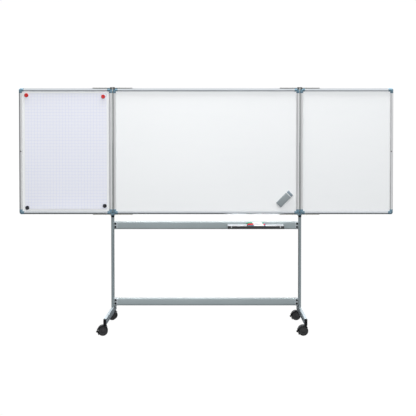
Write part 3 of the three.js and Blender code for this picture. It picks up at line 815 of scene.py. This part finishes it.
def make_post(side, sign):
    node = f"{side}_post"
    low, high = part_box(node)
    beam_low, beam_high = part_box(f"{side}_foot_beam")
    x0, x1 = beam_low.x, beam_high.x
    front, back = high.y - POST_DEPTH, high.y
    outer, inner = tube_outlines(x0, x1, front, back, 4 * MM)
    post = prism(f"{node}_tube", outer, "Z", low.z, high.z, "stand", hole=inner)
    inside = x0 if sign > 0 else x1  # the side towards the middle of the stand
    t = CARRIER_THICK
    leaf_end = low.x if sign > 0 else high.x
    outline = [
        (inside + sign * CARRIER_SUNK, CARRIER_BACK_Y),
        (inside - sign * t, CARRIER_BACK_Y), (inside - sign * t, low.y + t),
        (leaf_end, low.y + t), (leaf_end, low.y), (inside, low.y),
        (inside + sign * CARRIER_SUNK, front + 8 * MM),
    ]
    angle = prism("angle", outline, "Z", *CARRIER_SPAN)
    combine(post, "UNION", angle)
    settle(post, "stand_steel", node)

    head = pan_head("screw", 5 * MM, 2.4 * MM)
    turn = Matrix.Rotation(-math.pi / 2, 4, "X")
    x = (leaf_end + inside) / 2
    rows = [CARRIER_SPAN[0] + (CARRIER_SPAN[1] - CARRIER_SPAN[0]) * s for s in CARRIER_SCREWS]
    places = [Matrix.Translation((x - sign * 2 * MM, low.y + t, z)) @ turn for z in rows]
    settle(stamp(f"{side}_carrier_screws", head, places, "steel_pin"), "hinge_steel")

    ring = rounded_rectangle(x0, x1, front, back, 5 * MM, COLLAR_PROUD)
    bore = rounded_rectangle(x0, x1, front, back, 4 * MM, COLLAR_GAP)
    collar = prism(f"{side}_collar", ring, "Z", *COLLAR_SPAN, "black", hole=bore)
    settle(round_edges(collar, 0.6 * MM, 2, 60), "black_plastic")

    plug_low = Vector((x0 - PLUG_PROUD, front - PLUG_PROUD, high.z + PLUG_SPAN[0]))
    plug_high = Vector((x1 + PLUG_PROUD, back + PLUG_PROUD, high.z + PLUG_SPAN[1]))
    plug = rounded_box(f"{side}_post_plug", plug_low, plug_high, 2 * MM, "black")
    settle(plug, "black_plastic")


def make_foot(side):
    node = f"{side}_foot_beam"
    low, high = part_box(node)
    outer, inner = tube_outlines(low.x, high.x, low.z, high.z, 3.5 * MM)
    beam = prism(f"{node}_tube", outer, "Y", low.y, high.y, "foot", hole=inner)
    x = (low.x + high.x) / 2
    holes = [
        prism("hole", circle((x, sign * STEM_Y), STEM_HOLE), "Z", low.z - MM, low.z + 3 * MM)
        for sign in (-1, 1)
    ]
    combine(beam, "DIFFERENCE", *holes)
    settle(beam, "stand_steel", node)
    for end, sign, replaced in (("front", -1, [f"{side}_front_end_cap"]), ("rear", 1, [])):
        face = low.y if sign < 0 else high.y
        ys = sorted(face + sign * y for y in CAP_SPAN)
        outline = rounded_rectangle(low.x, high.x, low.z, high.z, 5 * MM, CAP_PROUD)
        cap = prism(f"{side}_{end}_cap", outline, "Y", ys[0], ys[1], "black")
        round_edges(cap, 1.6 * MM, 4, 60)
        inset = rounded_rectangle(low.x, high.x, low.z, high.z, 2 * MM, -TUBE_WALL - 0.3 * MM)
        plug_ends = sorted((face - sign * CAP_PLUG, face + sign * 1.5 * MM))
        combine(cap, "UNION", prism("plug", inset, "Y", *plug_ends))
        settle(cap, "black_plastic", *replaced)


CROSSBAR_SIZE = (25 * MM, 63 * MM)
SLEEVE_LENGTH = 30 * MM
SLEEVE_PROUD = 0.8 * MM
BOLT_INSET = 12.5 * MM
BOLT_SPREAD = 13 * MM
BOLT_RADIUS = 8.0 * MM


def socket_bolt(name):
    """A button-head bolt with a hexagon socket, its head on Z = 0."""
    radius, height = BOLT_RADIUS, 4 * MM
    rim = arc((radius - 1.6 * MM, height - 1.6 * MM), 1.6 * MM, 0, 90, 6)
    bolt = lathe(name, [(0, -2 * MM), (radius, -2 * MM)] + rim + [(0, height)], 40, Matrix.Identity(4))
    socket = prism("socket", circle((0, 0), 3.2 * MM, 6), "Z", height - 2.4 * MM, height + MM)
    combine(bolt, "DIFFERENCE", socket)
    return bolt


def make_crossbar(node):
    low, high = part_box(node)
    z = (low.z + high.z) / 2
    y = high.y - SLEEVE_PROUD - CROSSBAR_SIZE[0] / 2
    depth, height = CROSSBAR_SIZE
    w = 2 * TUBE_WALL
    outer = flat_oval((y, z), depth, height)
    inner = flat_oval((y, z), depth - w, height - w)
    joint = SLEEVE_LENGTH
    ends = (low.x + joint + 0.2 * MM, high.x - joint - 0.2 * MM)
    bar = prism(f"{node}_tube", outer, "X", *ends, "bar", hole=inner)
    settle(bar, "stand_steel", node)
    grown = 2 * SLEEVE_PROUD
    for side, (x0, x1) in {"left": (low.x, low.x + joint), "right": (high.x - joint, high.x)}.items():
        skin = flat_oval((y, z), depth + grown, height + grown)
        sleeve = prism(f"{node}_{side}_sleeve", skin, "X", x0, x1, "sleeve", hole=inner)
        settle(round_edges(sleeve, 0.6 * MM, 2, 60), "stand_steel")
    front = y - depth / 2 - SLEEVE_PROUD
    xs = (low.x + BOLT_INSET, high.x - BOLT_INSET)
    places = [facing_front((x, front, z + dz)) for x in xs for dz in (-BOLT_SPREAD, BOLT_SPREAD)]
    settle(stamp(f"{node}_bolts", socket_bolt("bolt"), places, "bolt"), "black_plastic")


TRAY_FLOOR = 790 * MM
TRAY_WALL = 2.5 * MM
TRAY_LIP = 6 * MM  # the front edge stands so much lower than the back wall
STRIP_THICK = 1.4 * MM
STRIP_GAP = 0.1 * MM
STRIP_RETURN = 5 * MM  # how far the strip reaches down behind the lip
STRIP_UNDER = 0.5 * MM
TRAY_CLIP_X = 195 * MM
TRAY_CLIP_HALF = 4 * MM


def make_tray():
    low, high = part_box("marker_tray")
    w, floor = TRAY_WALL, TRAY_FLOOR
    lip = high.z - TRAY_LIP
    section = [
        (low.y, low.z), (low.y + w, low.z), (low.y + w, floor - w), (high.y, floor - w),
        (high.y, high.z), (high.y - w, high.z), (high.y - w, floor + 3 * MM),
        (high.y - w - 3 * MM, floor), (low.y + w + 2 * MM, floor), (low.y + w, floor + 2 * MM),
        (low.y + w, lip), (low.y, lip),
    ]
    tray = prism("marker_tray_profile", section, "X", low.x + w, high.x - w, "tray")
    settle(round_edges(tray, 0.5 * MM, 2, 25), "tray_metal", "marker_tray")
    end_outline = [(low.y, low.z), (high.y, floor - 6 * MM), (high.y, high.z), (low.y, lip)]
    thick = w - 0.2 * MM
    for side, x0 in (("left", low.x), ("right", high.x - thick)):
        plate = prism(f"tray_{side}_end", end_outline, "X", x0, x0 + thick, "tray")
        settle(round_edges(plate, 0.8 * MM), "tray_metal")
    t = STRIP_THICK
    front, back, over = low.y - STRIP_GAP, low.y + w + STRIP_GAP, lip + STRIP_GAP
    strip_section = [
        (front, low.z - STRIP_UNDER), (front, over), (back, over), (back, over - STRIP_RETURN),
        (back + t, over - STRIP_RETURN), (back + t, over + t),
        (front - t, over + t), (front - t, low.z - STRIP_UNDER),
    ]
    strip = prism("tray_front_strip", strip_section, "X", low.x, high.x, "tray_edge")
    settle(round_edges(strip, 0.5 * MM), "black_plastic")
    for side, sign in SIDES.items():
        x = (low.x + high.x) / 2 + sign * TRAY_CLIP_X
        clip_low = Vector((x - TRAY_CLIP_HALF, front - t - 2.4 * MM, lip - 15 * MM))
        clip_high = Vector((x + TRAY_CLIP_HALF, front - t - 0.1 * MM, lip + 1 * MM))
        clip = rounded_box(f"tray_{side}_clip", clip_low, clip_high, 0.9 * MM, "clip")
        settle(clip, "tray_metal")


def make_stand():
    for side, sign in SIDES.items():
        make_post(side, sign)
        make_foot(side)
    for node in ("upper_crossbar", "lower_crossbar"):
        make_crossbar(node)
    make_tray()


# ---- casters
# Built with the stem on Z at the origin and the wheels trailing towards -X, then put in their places.
SWIVEL_DEG = {"front_left": 8, "front_right": 0, "rear_left": -8, "rear_right": 0}
WHEELS_LOW, WHEELS_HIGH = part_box("caster_front_right_wheels")
STEM_X = middle("right_foot_beam").x
STEM_Y = -(WHEELS_LOW.y + WHEELS_HIGH.y) / 2
AXLE = ((WHEELS_LOW.x + WHEELS_HIGH.x) / 2 - STEM_X, (WHEELS_LOW.z + WHEELS_HIGH.z) / 2)
WHEEL_RADIUS = AXLE[1]
BOSS_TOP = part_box("right_foot_beam")[0].z - 0.3 * MM
STEM_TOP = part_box("caster_front_right_fork")[1].z
TYRE_DEPTH = 6.4 * MM
HOOD_INNER, HOOD_OUTER = 38.9 * MM, 41.2 * MM
HOOD_HALF = 25 * MM
HOOD_SPAN = (35, 160)
BOSS_RADIUS, BOSS_LOW = 11.5 * MM, 50 * MM
STEM_RADIUS = 5 * MM
HUB_RADIUS, AXLE_BORE = 11 * MM, 4.5 * MM
BRAKE_ARM = 42.5 * MM  # from the axle to the brake's pivot and heel
BRAKE_PIVOT = polar(AXLE, BRAKE_ARM, 167)
BRAKE_HALF = 13 * MM
KNUCKLE_RADIUS = 3.6 * MM
TOE_RADIUS = 3 * MM
WEB_HALF = 4.7 * MM


def across(name, outline, half):
    """A prism across the caster, its outline in X and Z."""
    return prism(name, outline, "Y", -half, half)


def sector(inner, outer, start, end, steps):
    return arc(AXLE, outer, start, end, steps) + arc(AXLE, inner, end, start, steps)


def caster_fork():
    hood = across("caster_fork", sector(HOOD_INNER - 3 * MM, HOOD_OUTER, *HOOD_SPAN, 44), HOOD_HALF)
    round_edges(hood, 1.2 * MM, 4, 50)
    boss = prism("boss", circle((0, 0), BOSS_RADIUS, 48), "Z", BOSS_LOW, BOSS_TOP)
    round_edges(boss, 0.8 * MM, 3, 50)
    combine(hood, "UNION", boss)
    combine(hood, "DIFFERENCE", across("room", circle(AXLE, HOOD_INNER, 96), 30 * MM))
    hub = arc(AXLE, HUB_RADIUS, 225, 335, 14)
    web = across("web", arc(AXLE, HOOD_INNER + MM, HOOD_SPAN[0], 164, 40) + hub, WEB_HALF)
    neck = sector(HOOD_INNER - 4 * MM, HOOD_OUTER + 2 * MM, HOOD_SPAN[1] - 4, 167, 4)
    neck = across("neck", neck, WEB_HALF)
    tongue = across("tongue", circle(BRAKE_PIVOT, KNUCKLE_RADIUS), WEB_HALF)
    pin = across("pin", circle(BRAKE_PIVOT, 2 * MM), BRAKE_HALF + 0.6 * MM)
    stem = prism("stem", circle((0, 0), STEM_RADIUS, 40), "Z", BOSS_TOP - 5 * MM, STEM_TOP)
    combine(hood, "UNION", web, neck, tongue, pin, stem)
    return combine(hood, "DIFFERENCE", across("bore", circle(AXLE, AXLE_BORE, 40), 10 * MM))


def caster_wheels():
    """Both wheels in one: the tyre's tread and shoulder, a groove, a dished side and the hub's dome."""
    r = WHEEL_RADIUS / MM
    half = [  # radius and half width in millimetres, from the middle outwards
        (4.0, 6.0), (r - 3.4, 6.0), (r - 1.0, 6.6), (r, 8.6), (r, 19.0),
        (r - 0.6, 21.4), (r - 2.2, 23.2), (r - 4.4, 24.0), (r - 5.6, 23.7),
        (r - 6.2, 22.6), (r - 7.2, 22.4), (r - 8.0, 23.2), (r - 9.4, 23.3),
        (r - 10.6, 22.2), (18.0, 21.6), (14.5, 21.8), (13.4, 23.0), (12.2, 24.0), (9.0, 24.6),
        (5.0, 24.9), (0.0, 25.0),
    ]
    outer = [(a * MM, b * MM) for a, b in half]
    profile = [(a, -b) for a, b in reversed(outer)] + outer
    turn = Matrix.Translation((AXLE[0], 0, AXLE[1])) @ Matrix.Rotation(math.pi / 2, 4, "X")
    wheels = lathe("caster_wheels", profile, 72, turn, "wheel", smooth=32)
    wheels.data.materials.append(LOOKS["tyre"])
    for face in wheels.data.polygons:
        span = math.hypot(face.center.x - AXLE[0], face.center.z - AXLE[1])
        face.material_index = 1 if span > WHEEL_RADIUS - TYRE_DEPTH else 0
    return wheels


def caster_brake():
    tip = (AXLE[0] - 48.5 * MM, AXLE[1] - 8 * MM)
    heel = polar(AXLE, BRAKE_ARM, 222)
    lever = across("caster_brake", sector(HOOD_INNER + 0.1 * MM, 43 * MM, 169, 226, 26), BRAKE_HALF)
    toe = [polar(AXLE, BRAKE_ARM, 178), polar(tip, TOE_RADIUS, 150), polar(tip, TOE_RADIUS, 240)]
    toe.append(polar(AXLE, 40 * MM, 200))
    knuckle = across("knuckle", circle(BRAKE_PIVOT, KNUCKLE_RADIUS), BRAKE_HALF)
    lobes = [across("toe", toe, BRAKE_HALF), across("tip", circle(tip, TOE_RADIUS), BRAKE_HALF)]
    lobes += [across("heel", circle(heel, 3.2 * MM), BRAKE_HALF), knuckle]
    combine(lever, "UNION", *lobes)
    slot = across("slot", circle(BRAKE_PIVOT, 5.2 * MM), WEB_HALF + 0.7 * MM)
    combine(lever, "DIFFERENCE", slot, across("bore", circle(BRAKE_PIVOT, 2.35 * MM), 20 * MM))
    return round_edges(lever, 0.5 * MM, 2, 50)


def make_casters():
    sources = {
        "fork": (caster_fork(), "hood", "caster_plastic"),
        "wheels": (caster_wheels(), None, "caster_plastic"),
        "brake": (caster_brake(), "black", "black_plastic"),
    }
    for kind, (source, look, slot_name) in sources.items():
        for spot, degrees in SWIVEL_DEG.items():
            x = -STEM_X if spot.endswith("left") else STEM_X
            y = -STEM_Y if spot.startswith("front") else STEM_Y
            mesh = source.data.copy()
            mesh.transform(Matrix.Translation((x, y, 0)) @ Matrix.Rotation(math.radians(degrees), 4, "Z"))
            node = f"caster_{spot}_{kind}"
            settle(link(f"{node}_fine", mesh, look), slot_name, node, body=node)
        bpy.data.objects.remove(source)


# ---- what hangs on the boards
FACE_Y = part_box("centre_panel")[0].y
PAPER_SIZE = (655 * MM, 928 * MM)
PAPER_PLACE = (-1126.5 * MM, 1397 * MM)
PAPER_THICK = 0.2 * MM
PAPER_SMOOTH_DEG = 80
MAGNETS = {
    "magnet_red_outer": (-1442.6, 1846.6, "red"),
    "magnet_red_inner": (-826.0, 1835.0, "red"),
    "magnet_black_outer": (-1439.0, 942.0, "magnet_black"),
    "magnet_black_inner": (-815.5, 957.0, "magnet_black"),
}
ERASER_PLACE = (631 * MM, 1014 * MM)
ERASER_SIZE = (141 * MM, 53 * MM, 14.5 * MM)
LATCH_Z = 1396 * MM
LATCH_SHIFT, LATCH_SUNK = 2.5 * MM, 0.6 * MM  # inwards of the stile's middle, into its face
PEN_LENGTH = 140 * MM
PEN_RADIUS = 8.1 * MM
# Turned profiles of the marker's pieces: radius and height in millimetres.
PEN_PARTS = {
    "cap": [(0, 0), (6.2, 0), (7.4, 1.2), (7.8, 3), (8.1, 40), (8.1, 46), (7.7, 46.6), (0, 46.6)],
    "barrel": [(0, 46.7), (7.5, 46.7), (7.5, 49), (7.9, 50), (7.9, 124), (7.4, 126), (6.6, 127), (0, 127)],
    "plug": [(0, 127.1), (6.4, 127.1), (6.4, 129), (6.9, 130), (6.8, 138), (5.8, 140), (0, 140)],
}


def make_paper():
    """A flipchart sheet under its four magnets, its lower edge standing a little off the board."""
    width, height = PAPER_SIZE
    columns, rows = 44, 60
    bm = bmesh.new()
    grid = []
    for j in range(rows + 1):
        row = []
        for i in range(columns + 1):
            s, t = i / columns, j / rows
            lift = 2.6 * math.exp(-t * 16) * math.sin(math.pi * s) ** 0.5 + 1.3 * math.exp(-(1 - t) * 22)
            lift += 0.9 * math.sin(5.1 * s + 1.3) * math.sin(3.7 * t + 0.4) * math.sin(math.pi * t)
            place = (PAPER_PLACE[0] + width * (s - 0.5), FACE_Y - (0.5 + max(0, lift)) * MM,
                     PAPER_PLACE[1] + height * (t - 0.5))
            row.append(bm.verts.new(place))
        grid.append(row)
    for low, high in zip(grid, grid[1:]):
        for i in range(columns):
            bm.faces.new((low[i], low[i + 1], high[i + 1], high[i]))
    corner = (PAPER_PLACE[0] - width / 2, PAPER_PLACE[1] - height / 2)
    LOOKS["paper"] = ruled_paper(corner)
    paper = finish_mesh("paper_sheet", bm, "paper", PAPER_SMOOTH_DEG)
    thick = paper.modifiers.new("thickness", "SOLIDIFY")
    thick.thickness = PAPER_THICK
    thick.offset = 0
    bake(paper, PAPER_SMOOTH_DEG)
    settle(paper, "paper", body="left_wing")


def make_magnets():
    rim = [(16, 0), (16, 4.4), (15.6, 5.8), (14.6, 6.9), (13.0, 7.5), (11.6, 7.3), (10.6, 6.9)]
    profile = [(a * MM, b * MM) for a, b in [(0, 0)] + rim + [(6, 6.7), (0, 6.6)]]
    for name, (x, z, look) in MAGNETS.items():
        place = facing_front((x * MM, FACE_Y - 1.2 * MM, z * MM))
        magnet = lathe(name, profile, 48, place, look)
        settle(magnet, "magnet_red" if look == "red" else "black_plastic", body="left_wing")


def make_eraser():
    """A board eraser standing flat on the centre board at 45 degrees: felt, body, a slightly raised band
    coloured light as a painted highlight, and end.
    """
    length, width, depth = ERASER_SIZE
    place = (ERASER_PLACE[0], FACE_Y - 0.2 * MM, ERASER_PLACE[1])
    turn = facing_front(place) @ Matrix.Rotation(math.pi / 4, 4, "Z")
    felt_depth = 4 * MM
    inset = 1.5 * MM
    gap = 0.1 * MM
    band = (length / 2 - 28 * MM, length / 2 - 21 * MM)
    blocks = {
        "eraser_felt": (-length / 2 + inset, length / 2 - inset, inset, 0, felt_depth, 1.0, "felt", "felt"),
        "eraser_body": (-length / 2, band[0], 0, felt_depth + gap, depth, 2.6, "eraser", "eraser_body"),
        # the band is coloured light as a painted highlight
        "eraser_highlight_band": (band[0] + gap, band[1] - gap, -0.3 * MM, felt_depth + gap, depth + 0.3 * MM, 0.8,
                        "eraser_highlight_band", "eraser_body"),
        "eraser_end": (band[1], length / 2, 0, felt_depth + gap, depth, 2.6, "eraser_end", "eraser_body"),
    }
    for name, (x0, x1, shrink, z0, z1, radius, look, slot_name) in blocks.items():
        low = Vector((x0, -width / 2 + shrink, z0))
        high = Vector((x1, width / 2 - shrink, z1))
        piece = rounded_box(name, low, high, radius * MM, look, 5)
        piece.data.transform(turn)
        settle(piece, slot_name)


def make_pen(name, place, heading, color):
    """A board marker lying along X: white barrel, coloured cap and coloured end plug."""
    turn = Matrix.Translation(place) @ Matrix.Rotation(heading, 4, "Z") @ Matrix.Rotation(math.pi / 2, 4, "Y")
    half = PEN_LENGTH / 2
    for part, profile in PEN_PARTS.items():
        points = [(r * MM, z * MM - half) for r, z in profile]
        piece = lathe(f"{name}_{part}", points, 40, turn, "pen_white" if part == "barrel" else color)
        settle(piece, "marker_white" if part == "barrel" else "marker_colour")


def make_pens():
    """Six markers heaped three, two and one, each held between the two below it."""
    radius = PEN_RADIUS
    low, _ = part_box("marker_tray")
    floor = TRAY_FLOOR + radius + 0.2 * MM
    pitch = 26 * MM
    rise = math.sqrt((2 * radius + 0.3 * MM) ** 2 - (pitch / 2) ** 2)
    front = low.y + 26 * MM
    heap = {
        # the front black marker is coloured lighter and bluer than the other two: painted light
        "marker_black_front": (406, 0, 0, "pen_black_painted_light"),
        "marker_black_middle": (402, 1, 0, "pen_black"),
        "marker_black_rear": (399, 2, 0, "pen_black"),
        "marker_red": (402, 0.5, 1, "pen_red"),
        "marker_blue": (408, 1.5, 1, "pen_blue"),
        "marker_green": (394, 1, 2, "pen_green"),
    }
    for name, (x, along, level, look) in heap.items():
        make_pen(name, (x * MM, front + pitch * along, floor + rise * level), 0.0, look)


def make_latches():
    """A small round closing magnet let into each wing's free stile."""
    for side, sign in SIDES.items():
        low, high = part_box(f"{side}_wing_{side}_stile")
        x = (low.x + high.x) / 2 - sign * LATCH_SHIFT
        profile = [(0, -2), (4.4, -2), (4.4, 0.9), (3.9, 1.4), (0, 1.6)]
        points = [(r * MM, z * MM) for r, z in profile]
        place = facing_front((x, low.y + LATCH_SUNK, LATCH_Z))
        latch = lathe(f"{side}_latch", points, 32, place, "black")
        settle(latch, "black_plastic", body=f"{side}_wing")


def make_seals():
    """A soft grey strip down each wing's hinged edge, which closes the joint with the centre board."""
    for side, sign in SIDES.items():
        hinged = "right" if side == "left" else "left"
        low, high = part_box(f"{side}_wing_{hinged}_stile")
        edge = high.x if sign < 0 else low.x
        xs = sorted((edge + sign * 0.6 * MM, edge - sign * 3.2 * MM))
        strip = rounded_box(
            f"{side}_seam_strip",
            Vector((xs[0], BOARD_Y - 2 * MM, low.z - 20 * MM)),
            Vector((xs[1], BOARD_Y + 2 * MM, high.z + 20 * MM)),
            0.8 * MM,
            "seal",
        )
        settle(strip, "black_plastic", body=f"{side}_wing")


make_studio()
make_boards()
make_stand()
make_casters()
make_seals()
make_paper()
make_magnets()
make_eraser()
make_pens()
make_latches()
